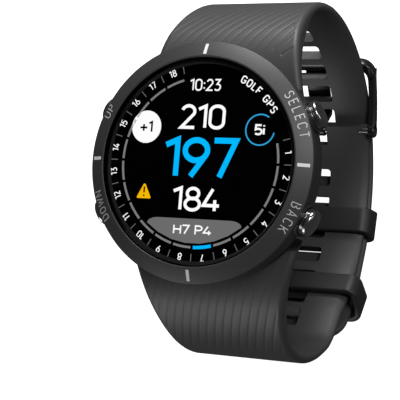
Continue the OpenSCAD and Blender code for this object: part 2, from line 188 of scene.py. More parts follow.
def surface(name, color, roughness, metallic=0.0, grain=1500.0, tint=0.08, rough_step=0.04,
            bump=0.0, specular=0.5):
    """Principled material whose colour, roughness and height all vary with a fine noise."""
    material = bpy.data.materials.new(name)
    material.use_nodes = True
    tree = material.node_tree
    shader = tree.nodes["Principled BSDF"]
    shader.inputs["Metallic"].default_value = metallic
    shader.inputs["Specular IOR Level"].default_value = specular
    coords = tree.nodes.new("ShaderNodeTexCoord")
    noise = tree.nodes.new("ShaderNodeTexNoise")
    noise.inputs["Scale"].default_value = grain
    noise.inputs["Detail"].default_value = 3
    tree.links.new(coords.outputs["Object"], noise.inputs["Vector"])
    ramp = tree.nodes.new("ShaderNodeValToRGB")
    ramp.color_ramp.elements[0].position = 0.3
    ramp.color_ramp.elements[1].position = 0.7
    ramp.color_ramp.elements[0].color = (*[c * (1 - tint) for c in color], 1)
    ramp.color_ramp.elements[1].color = (*[min(1, c * (1 + tint)) for c in color], 1)
    tree.links.new(noise.outputs["Fac"], ramp.inputs["Fac"])
    tree.links.new(ramp.outputs["Color"], shader.inputs["Base Color"])
    wear = tree.nodes.new("ShaderNodeMapRange")
    wear.inputs["To Min"].default_value = max(0.02, roughness - rough_step)
    wear.inputs["To Max"].default_value = min(1.0, roughness + rough_step)
    tree.links.new(noise.outputs["Fac"], wear.inputs["Value"])
    tree.links.new(wear.outputs["Result"], shader.inputs["Roughness"])
    if bump:
        relief = tree.nodes.new("ShaderNodeBump")
        relief.inputs["Strength"].default_value = 1.0
        relief.inputs["Distance"].default_value = bump * MM
        tree.links.new(noise.outputs["Fac"], relief.inputs["Height"])
        tree.links.new(relief.outputs["Normal"], shader.inputs["Normal"])
    return material


def screen_light(name, color, strength=1.0):
    """Lit part of the display, with a faint unevenness."""
    material = surface(name, (0.0, 0.0, 0.0), 0.5, grain=3000, specular=0.0)
    tree = material.node_tree
    shader = tree.nodes["Principled BSDF"]
    glow = tree.nodes.new("ShaderNodeValToRGB")
    glow.color_ramp.elements[0].color = (*[c * 0.97 for c in color], 1)
    glow.color_ramp.elements[1].color = (*color, 1)
    noise = next(n for n in tree.nodes if n.bl_idname == "ShaderNodeTexNoise")
    tree.links.new(noise.outputs["Fac"], glow.inputs["Fac"])
    tree.links.new(glow.outputs["Color"], shader.inputs["Emission Color"])
    shader.inputs["Emission Strength"].default_value = strength
    material.cycles.emission_sampling = "NONE"
    return material


def clear_glass(name):
    """Clear cover glass: see-through, with a weak gloss that grows at grazing angles."""
    material = surface(name, (0.02, 0.02, 0.02), 0.04, grain=300, rough_step=0.01)
    tree = material.node_tree
    gloss = tree.nodes.new("ShaderNodeFresnel")
    gloss.inputs["IOR"].default_value = 1.05
    clear = tree.nodes.new("ShaderNodeBsdfTransparent")
    mix = tree.nodes.new("ShaderNodeMixShader")
    out = tree.nodes["Material Output"]
    tree.links.new(gloss.outputs["Fac"], mix.inputs["Fac"])
    tree.links.new(clear.outputs["BSDF"], mix.inputs[1])
    tree.links.new(tree.nodes["Principled BSDF"].outputs["BSDF"], mix.inputs[2])
    tree.links.new(mix.outputs["Shader"], out.inputs["Surface"])
    return material


def make_materials():
    """One material for each slot of the record, and those of the dial's graphics."""
    return {
        "case_polymer": surface("case_polymer", (0.022, 0.022, 0.024), 0.5, grain=5000, bump=0.004),
        "bezel_coating": surface("bezel_coating", (0.045, 0.045, 0.046), 0.46, grain=6000, bump=0.002),
        "steel": surface("steel", (0.5, 0.5, 0.51), 0.28, 1.0),
        "gunmetal": surface("gunmetal", (0.4, 0.4, 0.41), 0.22, 1.0, rough_step=0.02),
        "black_metal": surface("black_metal", (0.012, 0.012, 0.013), 0.22, grain=2500, rough_step=0.02),
        "seal_rubber": surface("seal_rubber", (0.015, 0.015, 0.015), 0.6),
        "strap_rubber": surface("strap_rubber", (0.05, 0.05, 0.051), 0.5, grain=7000, tint=0.1, bump=0.004),
        "keeper_rubber": surface("keeper_rubber", (0.02, 0.02, 0.021), 0.5, grain=7000, bump=0.004),
        "lens_glass": clear_glass("lens_glass"),
        "display_black": surface("display_black", (0.001, 0.001, 0.001), 0.5, specular=0.0),
        "board_green": surface("board_green", (0.01, 0.09, 0.05), 0.4),
        "bracket_plastic": surface("bracket_plastic", (0.15, 0.15, 0.15), 0.5),
        "flex_film": surface("flex_film", (0.45, 0.2, 0.04), 0.3),
        "shield_steel": surface("shield_steel", (0.6, 0.6, 0.6), 0.3, 1.0),
        "antenna_ceramic": surface("antenna_ceramic", (0.7, 0.63, 0.5), 0.5),
        "coil_copper": surface("coil_copper", (0.72, 0.4, 0.22), 0.35, 1.0),
        "cell_foil": surface("cell_foil", (0.6, 0.61, 0.63), 0.35, 1.0),
        "weight_metal": surface("weight_metal", (0.32, 0.32, 0.33), 0.4, 1.0),
        "switch_plastic": surface("switch_plastic", (0.03, 0.03, 0.03), 0.4),
        "contact_gold": surface("contact_gold", (0.85, 0.65, 0.25), 0.25, 1.0),
        "mark_paint": surface("mark_paint", (0.85, 0.85, 0.85), 0.5, grain=4000, tint=0.03),
        "label_paint": surface("label_paint", (0.6, 0.6, 0.6), 0.5, grain=4000, tint=0.05),
        "screen_white": screen_light("screen_white", (1.0, 1.0, 1.0)),
        "screen_blue": screen_light("screen_blue", (0.0, 0.48, 1.0)),
        "screen_ring": screen_light("screen_ring", (0.03, 0.36, 0.7)),
        "screen_yellow": screen_light("screen_yellow", (0.92, 0.48, 0.0)),
        "screen_segment": screen_light("screen_segment", (0.15, 0.15, 0.15)),
        "screen_arc": screen_light("screen_arc", (0.2, 0.2, 0.2)),
        "screen_tick": screen_light("screen_tick", (0.13, 0.13, 0.13)),
        "screen_black": screen_light("screen_black", (0.0, 0.0, 0.0)),
    }


# ---- Mesh helpers ----


def new_piece(name, points, faces, body, material, crease=35.0):
    """Closed mesh piece, its points in millimetres, shaded smooth below the crease angle."""
    mesh = solid_mesh(name, points, faces)
    piece = bpy.data.objects.new(name, mesh)
    bpy.context.scene.collection.objects.link(piece)
    mesh.materials.append(material)
    shade(mesh, crease)
    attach(piece, body)
    return piece


def solid_mesh(name, points, faces):
    """Mesh of closed solids given in millimetres, its faces turned outwards."""
    mesh = bpy.data.meshes.new(name)
    mesh.from_pydata([(x * MM, y * MM, z * MM) for x, y, z in points], [], faces)
    work = bmesh.new()
    work.from_mesh(mesh)
    bmesh.ops.recalc_face_normals(work, faces=work.faces)
    work.to_mesh(mesh)
    work.free()
    return mesh


def shade(mesh, crease):
    """Smooth shading with sharp edges where two faces meet at more than the crease angle."""
    for face in mesh.polygons:
        face.use_smooth = True
    mesh.set_sharp_from_angle(angle=rad(crease))


def ring_faces(rows, count, closed_rows=False):
    """Faces between rows of count points, each row a closed ring."""
    faces = []
    for i in range(rows if closed_rows else rows - 1):
        a, b = i * count, (i + 1) % rows * count
        for j in range(count):
            k = (j + 1) % count
            faces.append((a + j, a + k, b + k, b + j))
    return faces


def capped(rows, count):
    """Faces of a tube of rows rings, closed by one face at each end."""
    faces = ring_faces(rows, count)
    faces.append(tuple(range(count - 1, -1, -1)))
    faces.append(tuple(range((rows - 1) * count, rows * count)))
    return faces


def lathe(outline, steps=192):
    """Points and faces of a closed outline of [radius, height] turned about Z."""
    points = []
    for i in range(steps):
        a = 2 * math.pi * i / steps
        points += [(r * math.cos(a), r * math.sin(a), z) for r, z in outline]
    return points, ring_faces(steps, len(outline), closed_rows=True)


def rounded(corners, steps=4):
    """Outline through corners of (x, y, radius), each corner rounded by its radius."""
    outline = []
    count = len(corners)
    for i, (x, y, r) in enumerate(corners):
        here = np.array((x, y))
        before = np.array(corners[i - 1][:2]) - here
        after = np.array(corners[(i + 1) % count][:2]) - here
        before = before / np.linalg.norm(before)
        after = after / np.linalg.norm(after)
        if r <= 0:
            outline.append((x, y))
            continue
        half = math.acos(max(-1.0, min(1.0, float(before @ after)))) / 2
        centre = here + (before + after) / np.linalg.norm(before + after) * r / math.sin(half)
        first = here + before * r / math.tan(half) - centre
        last = here + after * r / math.tan(half) - centre
        start = math.atan2(first[1], first[0])
        turn = math.atan2(last[1], last[0]) - start
        turn = (turn + math.pi) % (2 * math.pi) - math.pi
        for k in range(steps + 1):
            t = start + turn * k / steps
            outline.append((centre[0] + r * math.cos(t), centre[1] + r * math.sin(t)))
    return outline


def loop_point(x, a, r):
    """Place on the strap loop at width x, loop angle a and distance r from its centre."""
    return (x, r * math.cos(rad(a)), LOOP_Z - r * math.sin(rad(a)))


def cut(piece, points, faces):
    """Takes the closed solid out of the piece, and keeps the result as the piece's mesh."""
    mesh = solid_mesh("cutter", points, faces)
    cutter = bpy.data.objects.new("cutter", mesh)
    bpy.context.scene.collection.objects.link(cutter)
    modifier = piece.modifiers.new("cut", "BOOLEAN")
    modifier.operation = "DIFFERENCE"
    modifier.solver = "EXACT"
    modifier.object = cutter
    bpy.context.view_layer.update()
    graph = bpy.context.evaluated_depsgraph_get()
    result = bpy.data.meshes.new_from_object(piece.evaluated_get(graph))
    piece.modifiers.clear()
    old = piece.data
    materials = list(old.materials)
    result.name = old.name
    piece.data = result
    piece.data.materials.clear()
    for material in materials:
        piece.data.materials.append(material)
    bpy.data.objects.remove(cutter)
    bpy.data.meshes.remove(mesh)
    bpy.data.meshes.remove(old)


def box_solid(x0, x1, y0, y1, z0, z1):
    points = [(x, y, z) for x in (x0, x1) for y in (y0, y1) for z in (z0, z1)]
    faces = [(0, 1, 3, 2), (4, 6, 7, 5), (0, 4, 5, 1), (2, 3, 7, 6), (0, 2, 6, 4), (1, 5, 7, 3)]
    return points, faces


def joined(solids):
    """Several solids as one list of points and one of faces."""
    points, faces = [], []
    for more_points, more_faces in solids:
        base = len(points)
        points += more_points
        faces += [tuple(base + i for i in face) for face in more_faces]
    return points, faces


def turned_solid(solid, place):
    """The solid with every point passed through place."""
    return [place(*p) for p in solid[0]], solid[1]


# ---- Straps ----


def upper_out(a):
    root = 0.0014 * over(15 - a) ** 2 + 0.0345 * over(-35 - a) ** 1.5
    return LOOP_R - root + TAIL_LIFT * smooth((a - 112) / 24)


def upper_in(a):
    return upper_out(a) - STRAP_T - ROOT_T * smooth((-12 - a) / 25)


def lower_out(a):
    root = 0.0019 * over(a - 165) ** 2 + 0.01 * over(a - 215) ** 1.5
    return LOOP_R - root - (STRAP_T + LAYER_GAP) * smooth((157 - a) / 18)


def lower_in(a):
    return lower_out(a) - STRAP_T - ROOT_T * smooth((a - 192) / 25)


def upper_half(a):
    r = upper_out(a)
    y = r * math.cos(rad(a))
    front = BAND_W + 0.165 * over(36 - y) if LOOP_Z - r * math.sin(rad(a)) > -20 else BAND_W
    tip = over(a - (TAIL_END - 10)) / 10
    return front - 6.5 * (1 - math.sqrt(max(0.0, 1 - min(1.0, tip) ** 2.2)))


def lower_half(a):
    r = lower_out(a)
    y = -r * math.cos(rad(a))
    if LOOP_Z - r * math.sin(rad(a)) <= -20:
        return BAND_W
    return BAND_W + 4 * (over(36 - y) / 18) ** 1.3


# Two deeper short lines by the long strap's +X edge, as (width, loop angle) of their ends
DEEP_LINES = (((9.3, -42.8), (12.5, -36.8)), ((11.1, -44.7), (13.1, -42.3)))


def line_gap(x, a, start, end):
    """Distance on the strap's face from (x, a) to a short straight line."""
    arc_scale = LOOP_R * rad(1)
    run = np.array((end[0] - start[0], (end[1] - start[1]) * arc_scale))
    here = np.array((x - start[0], (a - start[1]) * arc_scale))
    along = min(1.0, max(0.0, float(here @ run / (run @ run))))
    return float(np.linalg.norm(here - run * along))


def upper_relief(x, a):
    """Depth of the engraved lines at the long strap's root, fanning out to +X."""
    s = (-a - 2) * LOOP_R * rad(1)
    lean = math.tan(rad(30))
    line = (x + lean * s) / 2.0
    near = abs(line - round(line)) * 2.0 * math.cos(rad(30))
    start = smooth((s - 0.2) / 2.0)
    fine = 0.06 * start * math.exp(-((near / 0.2) ** 2)) * smooth((13.2 - abs(x)) / 1.0)
    deep = max(0.2 * math.exp(-((line_gap(x, a, *ends) / 0.15) ** 2)) for ends in DEEP_LINES)
    return max(fine, deep)


def lower_relief(x, a):
    """Depth of the engraved lines at the short strap's root, drifting to -X."""
    s = (a - 192) * LOOP_R * rad(1)
    line = (x - math.tan(rad(17)) * s) / 1.7
    near = abs(line - round(line)) * 1.7 * math.cos(rad(17))
    start = smooth(s / 1.5)
    return 0.07 * start * math.exp(-((near / 0.2) ** 2)) * smooth((14.5 - abs(x)) / 1.2)


def band_section(half, out, inner, edge, face_columns):
    """Ring of (x, radius) round a strap: outer face, rounded edges, bevelled inner face."""
    ring = []
    for i in range(face_columns + 1):
        ring.append((-(half - edge) + 2 * (half - edge) * i / face_columns, out))
    for k in range(1, 6):
        t = rad(90 - 18 * k)
        ring.append((half - edge + edge * math.cos(t), out - edge + edge * math.sin(t)))
    bevel_x, bevel_r = 1.8, 0.7
    low = min(inner + bevel_r, out - edge - 0.1)
    ring.append((half - 0.12, low + 0.12))
    ring.append((half - 0.3, low - 0.02))
    for i in range(5):
        x = half - bevel_x - 2 * (half - bevel_x) * i / 4
        ring.append((x, inner))
    ring.append((-half + 0.3, low - 0.02))
    ring.append((-half + 0.12, low + 0.12))
    for k in range(5):
        t = rad(180 - 18 * k)
        ring.append((-(half - edge) + edge * math.cos(t), out - edge + edge * math.sin(t)))
    return ring


def strap_band(name, stations, outer, inner, half, relief, body, material):
    """Swept strap: one ring at each loop angle, its outer face engraved by relief."""
    columns = 150
    edge = 1.1
    points = []
    for a in stations:
        ring = band_section(half(a), outer(a), inner(a), edge, columns)
        for i, (x, r) in enumerate(ring):
            depth = relief(x, a) if 0 < i < columns else 0.0
            points.append(loop_point(x, a, r - depth))
    count = len(ring)
    faces = capped(len(stations), count)
    return new_piece(name, points, faces, body, material, crease=50)


def spread(first, last, step):
    """Angles from first to last about step apart."""
    count = max(1, round(abs(last - first) / step))
    return [first + (last - first) * i / count for i in range(count + 1)]


def slot_solid(a, half_w, half_l, corner=0.7):
    """Round-cornered cutter through both faces of the strap at loop angle a."""
    outline = rounded([(-half_w, -half_l, corner), (half_w, -half_l, corner), (half_w, half_l, corner),
                       (-half_w, half_l, corner)])
    points = []
    for r in (LOOP_R - 8, LOOP_R + 5):
        for x, t in outline:
            y = r * math.cos(rad(a)) + t * math.sin(rad(a))
            z = LOOP_Z - r * math.sin(rad(a)) + t * math.cos(rad(a))
            points.append((x, y, z))
    return points, capped(2, len(outline))


def slot_row(first, pitch, count, half_w, half_l):
    """Cutters for a row of slots along the loop."""
    return [slot_solid(first + pitch * i, half_w, half_l) for i in range(count)]


def ear_pocket(x0, x1):
    """Space round one lug ear: flat sides and a round end about the spring bar."""
    r = 1.48
    side = [(15.95, BAR_Z - r)] + arc(BAR_Y, BAR_Z, r, r, -90, 90) + [(15.95, BAR_Z + r)]
    return [(x, y, z) for x in (x0, x1) for y, z in side], capped(2, len(side))


def root_cuts(piece, mirror):
    """Takes the case, the lug ears and the spring bar out of a strap's end."""
    gap = 0.35
    side = [(21.7, 11.05), (21.4, 6), (20.65, 4), (19.4, 1.6), (18.9, 0.3)]
    outline = [(0.01, 16), (22.05, 16)] + [(r + gap, z) for r, z in side] + [(19.25, -8), (0.01, -8)]
    points, faces = lathe(outline[::-1], 256)
    cut(piece, points, faces)
    ears = [ear_pocket(s * 9.15 - 1.5, s * 9.15 + 1.5) for s in (-1, 1)]
    rod = []
    for x in (-9, 9):
        for t in range(0, 360, 15):
            rod.append((x, BAR_Y + BAR_HOLE_R * math.cos(rad(t)), BAR_Z + BAR_HOLE_R * math.sin(rad(t))))
    for points, faces in (joined(ears), (rod, capped(2, 24))):
        if mirror:
            points = [(x, -y, z) for x, y, z in points]
            faces = [face[::-1] for face in faces]
        cut(piece, points, faces)


def long_strap(material):
    step = 0.4
    stations = spread(-55, 6, step)[:-1] + spread(6, 136, 2.0)[:-1] + spread(136, TAIL_END, 0.8)
    piece = strap_band("strap_upper_skin", stations, upper_out, upper_in, upper_half, upper_relief,
                       "long_strap", material)
    root_cuts(piece, False)
    cut(piece, *joined(slot_row(*LONG_SLOTS)))
    shade(piece.data, 40)
    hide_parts("strap_upper")


def short_strap(material):
    step = 0.4
    stations = spread(BAR_A - 2.0, 190, 2.0)[:-1] + spread(190, 235, step)
    piece = strap_band("strap_lower_skin", stations, lower_out, lower_in, lower_half, lower_relief,
                       "short_strap", material)
    root_cuts(piece, True)
    cut(piece, *joined(slot_row(*SHORT_SLOTS) + slot_row(*END_SLOT)))
    notch = box_solid(-2.9, 2.9, -2.7, 2.7, -3.2, 3.2)
    turned = turned_solid(notch, lambda x, y, z: on_loop(BAR_A, BAR_RING, x, y, z))
    cut(piece, *turned)
    hole = [on_loop(BAR_A, BAR_RING, x, 0.8 * math.cos(rad(t)), 0.8 * math.sin(rad(t)))
            for x in (-20, 20) for t in range(0, 360, 15)]
    cut(piece, hole, capped(2, 24))
    shade(piece.data, 40)
    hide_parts("strap_lower")


def on_loop(a, r, x, out, along):
    """Place at width x, moved out and along the loop from its point at angle a, radius r."""
    y = (r + out) * math.cos(rad(a)) - along * math.sin(rad(a))
    z = LOOP_Z - (r + out) * math.sin(rad(a)) - along * math.cos(rad(a))
    return (x, y, z)


# ---- Keepers and buckle ----


def keeper(name, node, body, shape, material):
    """Closed band round the strap layers, its section a round-edged strip."""
    centre, half_a, side_gap, out_gap, in_gap = shape
    wall = 1.4
    w = BAND_W + side_gap + wall / 2
    out = LOOP_R + out_gap + wall / 2
    inner = UNDER_IN - in_gap - wall / 2
    path = rounded([(-w, inner, 1.6), (w, inner, 1.6), (w, out, 2.2), (-w, out, 2.2)], 8)
    half_l = half_a * LOOP_R * rad(1)
    strip = rounded([(-wall / 2, -half_l, 0.45), (wall / 2, -half_l, 0.45), (wall / 2, half_l, 0.45),
                     (-wall / 2, half_l, 0.45)])
    points = []
    count = len(path)
    for i, (x, r) in enumerate(path):
        tangent = np.array(path[(i + 1) % count]) - np.array(path[i - 1])
        tangent = tangent / np.linalg.norm(tangent)
        normal = (tangent[1], -tangent[0])
        for offset, along in strip:
            a = centre + math.degrees(along / LOOP_R)
            points.append(loop_point(x + offset * normal[0], a, r + offset * normal[1]))
    piece = new_piece(name, points, ring_faces(count, len(strip), closed_rows=True), body, material)
    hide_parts(node)


def sweep(path, sections):
    """Tube through path points of (place, side, out), a ring of (side, out) offsets at each."""
    points = []
    for (place, side, out), ring in zip(path, sections):
        for s, o in ring:
            points.append(tuple(Vector(place) + Vector(side) * s + Vector(out) * o))
    return points, capped(len(path), len(sections[0]))


def rod_solid(x0, x1, a, r, radius, chamfer=0.2):
    """Round rod along X through a point of the loop, its ends chamfered."""
    points = []
    low = radius - chamfer
    for x, q in ((x0, low), (x0 + chamfer, radius), (x1 - chamfer, radius), (x1, low)):
        points += [on_loop(a, r, x, q * math.cos(rad(t)), q * math.sin(rad(t))) for t in range(0, 360, 12)]
    return points, capped(4, 30)


def buckle_frame(material):
    """U-shaped frame: two rails that lean out to a round-cornered crossbar."""
    rail_x = FRAME_W - 0.7
    corner = 2.6
    outline = [(rail_x, BAR_A - 0.6)]
    outline += [(rail_x, BAR_A - 2.5 * i) for i in range(1, 9)]
    corner_a = math.degrees(corner / CROSS_RING)
    for k in range(9):
        t = rad(90 * k / 8)
        outline.append((rail_x - corner + corner * math.cos(t),
                        CROSS_A + corner_a - corner_a * math.sin(t)))
    outline += [(x, CROSS_A) for x in (8, 5, 2)]
    outline += [(-x, a) for x, a in outline[::-1]]
    path, sections = [], []
    count = len(outline)
    for i, (x, a) in enumerate(outline):
        mid = BAR_RING + (CROSS_RING - BAR_RING) * (BAR_A - a) / (BAR_A - CROSS_A)
        before, after = outline[max(0, i - 1)], outline[min(count - 1, i + 1)]
        run = np.array((after[0] - before[0], (after[1] - before[1]) * rad(1) * CROSS_RING))
        run = run / np.linalg.norm(run)
        out = Vector((0, math.cos(rad(a)), -math.sin(rad(a))))
        along = Vector((0, -math.sin(rad(a)), -math.cos(rad(a))))
        side = Vector((1, 0, 0)) * float(run[1]) - along * float(run[0])
        bar = smooth((BAR_A - a) / (BAR_A - CROSS_A) * 4 - 3)
        half_s = 0.7 + 0.35 * bar
        half_o = 1.25 - 0.15 * bar
        ring = rounded([(-half_s, -half_o, 0.4), (half_s, -half_o, 0.4), (half_s, half_o, 0.4),
                        (-half_s, half_o, 0.4)])
        path.append((loop_point(x, a, mid), side, out))
        sections.append(ring)
    frame_solid = sweep(path, sections)
    hubs = [rod_solid(s * rail_x - 0.7, s * rail_x + 0.7, BAR_A, BAR_RING, 1.5) for s in (-1, 1)]
    piece = new_piece("buckle_frame_skin", *joined([frame_solid] + hubs), "buckle", material)
    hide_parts("buckle_frame")


def tongue(material):
    """Flat tongue from the bar up through its slot and along the strap to the crossbar."""
    ends = [(BAR_A, BAR_RING, 0.75), (60.7, UNDER_OUT + 0.1, 0.5), (59.6, LOOP_R + 0.6, 0.5),
            (57, LOOP_R + 1.15, 0.55), (48, LOOP_R + 1.55, 0.5), (CROSS_A - 1.4, LOOP_R + 2.5, 0.42)]
    places = [Vector(loop_point(0, a, r)) for a, r, _ in ends]
    path, sections = [], []
    for i, (a, r, half_t) in enumerate(ends):
        before, after = places[max(0, i - 1)], places[min(len(ends) - 1, i + 1)]
        along = (after - before).normalized()
        out = Vector((1, 0, 0)).cross(along)
        w = TONGUE_W - (0.35 if i == len(ends) - 1 else 0.0)
        path.append((places[i], Vector((1, 0, 0)), out))
        sections.append(rounded([(-w, -half_t, 0.25), (w, -half_t, 0.25), (w, half_t, 0.25),
                                 (-w, half_t, 0.25)]))
    solids = [sweep(path, sections), rod_solid(-TONGUE_W, TONGUE_W, BAR_A, BAR_RING, 1.3)]
    piece = new_piece("tongue_skin", *joined(solids), "buckle_tongue", material)
    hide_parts("tongue")


# ---- Watch head ----


def cone_z(r):
    """Height of the bezel's cone at radius r."""
    return LIP_Z - (LIP_Z - EDGE_Z) * (r - CONE_TOP_R) / (BEZEL_R - CONE_TOP_R)


def bezel(material):
    """Turned ring with softened edges and four grooves for the index bars."""
    outline = rounded([
        (17.9, 11.95, 0.05), (17.9, 11.35, 0.05), (18.9, 11.35, 0), (18.9, 10.1, 0), (19.9, 10.1, 0),
        (19.9, 11.1, 0), (21.7, 11.1, 0.1), (BEZEL_R, 11.45, 0.15), (BEZEL_R, EDGE_Z, 0.14),
        (CONE_TOP_R, LIP_Z, 0.1), (LIP_R, LIP_Z - 0.02, 0.1), (LIP_R, 11.95, 0),
    ])
    piece = new_piece("bezel_ring", *lathe(outline, 256), "watch_head", material)
    grooves = []
    for i in range(4):
        grooves.append(turned_solid(index_bar(19.5, 21.55, 0.32, -0.12, 0.6), quarter_turn(i)))
    cut(piece, *joined(grooves))
    shade(piece.data, 30)
    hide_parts("bezel")


def lens(glass, rubber):
    """Cover glass with a chamfered rim, and the black seal between it and the bezel."""
    outline = [(0.001, 12.05), (LENS_R, 12.05), (LENS_R, 13.05), (18.55, 13.2), (0.001, 13.2)]
    piece = new_piece("lens_pane", *lathe(outline), "watch_head", glass, crease=20)
    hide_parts("lens")
    seal = [(18.72, 12.0), (18.94, 12.0), (18.94, 13.24), (18.72, 13.24)]
    ring = new_piece("lens_rim_seal", *lathe(seal), "watch_head", rubber)


def index_bar(r0, r1, half_w, low, high):
    """Bar along the cone at 3 o'clock between two heights over the cone."""
    points = [(r, w, cone_z(r) + h) for r in (r0, r1) for w in (-half_w, half_w) for h in (low, high)]
    return points, box_solid(0, 1, 0, 1, 0, 1)[1]


def quarter_turn(i):
    """Turn by i quarters about Z."""
    c, s = round(math.cos(rad(90 * i))), round(math.sin(rad(90 * i)))
    return lambda x, y, z: (x * c - y * s, x * s + y * c, z)


def index_bars(material):
    bars = [turned_solid(index_bar(19.52, 21.53, 0.3, -0.12, 0.01), quarter_turn(i)) for i in range(4)]
    new_piece("index_bars", *joined(bars), "watch_head", material)


def button_head(name, angle, material):
    """Polished pusher with a rounded rim and a shallow waist behind it."""
    r, face = 2.5, 23.7
    outline = rounded([
        (0.0001, 17.3, 0), (0.9, 17.3, 0.1), (0.9, 21.0, 0), (r - 0.1, 21.0, 0.15), (r - 0.02, 22.1, 0),
        (r - 0.35, 22.3, 0.1), (r - 0.35, 22.6, 0.1), (r, 22.8, 0.1), (r, face - 0.1, 0.5),
        (0.6, face, 2.5), (0.0001, face, 0),
    ])
    solid = lathe(outline, 96)
    c, s = math.cos(rad(angle)), math.sin(rad(angle))
    place = lambda x, y, z: (x * c + z * s, -x * s + z * c, BUTTON_Z - y)
    piece = new_piece("button_" + name + "_head", *turned_solid(solid, place), name + "_pusher", material)
    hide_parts("button_" + name)


# ---- Lettering, drawn as strokes ----


def arc(cx, cy, rx, ry, start, end):
    """Points of an arc, its angles in degrees, anticlockwise from +x."""
    steps = max(3, round(abs(end - start) / 12))
    angles = [rad(start + (end - start) * i / steps) for i in range(steps + 1)]
    return [(cx + rx * math.cos(t), cy + ry * math.sin(t)) for t in angles]


def nine():
    return [arc(0.25, 0.72, 0.25, 0.28, 0, 360), [(0.475, 0.6), (0.16, 0)]]


def glyphs():
    """Centre lines of each sign in a box one unit tall, with its width."""
    six = [[(0.5 - x, 1 - y) for x, y in line] for line in nine()]
    bowl = arc(0.25, 0.25, 0.25, 0.25, 180, 360)
    oval = arc(0.25, 0.75, 0.25, 0.25, 0, 180) + bowl + [(0.5, 0.75)]
    c = arc(0.25, 0.75, 0.25, 0.25, 15, 180) + arc(0.25, 0.25, 0.25, 0.25, 180, 345)
    return {
        "0": (0.5, [oval]),
        "1": (0.3, [[(0, 0.85), (0.26, 1), (0.26, 0)]]),
        "2": (0.48, [arc(0.24, 0.74, 0.23, 0.26, 165, -28) + [(0, 0), (0.49, 0)]]),
        "3": (0.48, [[(0.02, 1), (0.44, 1), (0.2, 0.58)] + arc(0.22, 0.29, 0.26, 0.29, 85, -140)]),
        "4": (0.54, [[(0.3, 1), (0.0, 0.24), (0.54, 0.24)], [(0.39, 0.5), (0.39, 0)]]),
        "5": (0.48, [[(0.44, 1), (0.05, 1), (0.03, 0.52)] + arc(0.22, 0.3, 0.26, 0.3, 110, -140)]),
        "6": (0.5, six),
        "7": (0.48, [[(0.0, 1), (0.48, 1), (0.16, 0)]]),
        "8": (0.5, [arc(0.25, 0.76, 0.2, 0.24, 0, 360), arc(0.25, 0.27, 0.25, 0.27, 0, 360)]),
        "9": (0.5, nine()),
        "A": (0.52, [[(0, 0), (0.26, 1), (0.52, 0)], [(0.09, 0.3), (0.43, 0.3)]]),
        "B": (0.46, [[(0, 0.53), (0.24, 0.53)] + arc(0.24, 0.265, 0.23, 0.265, 90, -90)
                     + [(0, 0), (0, 1), (0.22, 1)] + arc(0.22, 0.765, 0.2, 0.235, 90, -90)]),
        "C": (0.48, [c]),
        "D": (0.5, [[(0, 0), (0, 1), (0.24, 1)] + arc(0.24, 0.74, 0.26, 0.26, 90, 0)
                    + arc(0.24, 0.26, 0.26, 0.26, 0, -90) + [(0, 0)]]),
        "E": (0.42, [[(0.42, 1), (0, 1), (0, 0), (0.42, 0)], [(0, 0.52), (0.36, 0.52)]]),
        "F": (0.42, [[(0.42, 1), (0, 1), (0, 0)], [(0, 0.52), (0.36, 0.52)]]),
        "G": (0.5, [c + [(0.5, 0.25), (0.5, 0.45), (0.28, 0.45)]]),
        "H": (0.5, [[(0, 0), (0, 1)], [(0.5, 0), (0.5, 1)], [(0, 0.52), (0.5, 0.52)]]),
        "K": (0.48, [[(0, 0), (0, 1)], [(0.46, 1), (0.0, 0.38)], [(0.16, 0.56), (0.48, 0)]]),
        "L": (0.4, [[(0, 1), (0, 0), (0.4, 0)]]),
        "N": (0.5, [[(0, 0), (0, 1), (0.5, 0), (0.5, 1)]]),
        "O": (0.5, [oval]),
        "P": (0.48, [[(0, 0), (0, 1), (0.24, 1)] + arc(0.24, 0.74, 0.24, 0.26, 90, -90) + [(0, 0.48)]]),
        "S": (0.48, [arc(0.24, 0.76, 0.23, 0.24, 30, 270) + arc(0.24, 0.26, 0.24, 0.26, 90, -150)]),
        "T": (0.48, [[(0, 1), (0.48, 1)], [(0.24, 1), (0.24, 0)]]),
        "U": (0.5, [[(0, 1)] + bowl + [(0.5, 1)]]),
        "W": (0.72, [[(0, 1), (0.18, 0), (0.36, 0.85), (0.54, 0), (0.72, 1)]]),
        "i": (0.06, [[(0.03, 0), (0.03, 0.66)], [(0.03, 0.86), (0.03, 1)]]),
        "+": (0.66, [[(0, 0.42), (0.66, 0.42)], [(0.33, 0.08), (0.33, 0.76)]]),
        ":": (0.1, [[(0.05, 0.14), (0.05, 0.28)], [(0.05, 0.6), (0.05, 0.74)]]),
        " ": (0.22, []),
    }


GLYPHS = glyphs()


def text_lines(text, height, stroke, gap, stretch=1.0):
    """Centre lines of a text whose outer height is height, centred on the origin."""
    scale = height - stroke
    lines, x = [], 0.0
    for sign in text:
        width, strokes = GLYPHS[sign]
        lines += [[(x + u * scale * stretch, v * scale) for u, v in line] for line in strokes]
        x += width * scale * stretch + gap
    middle = (x - gap) / 2
    return [[(u - middle, v - scale / 2) for u, v in line] for line in lines]


def text_width(text, height, stroke, gap, stretch):
    scale = (height - stroke) * stretch
    return sum(GLYPHS[sign][0] * scale for sign in text) + gap * (len(text) - 1)


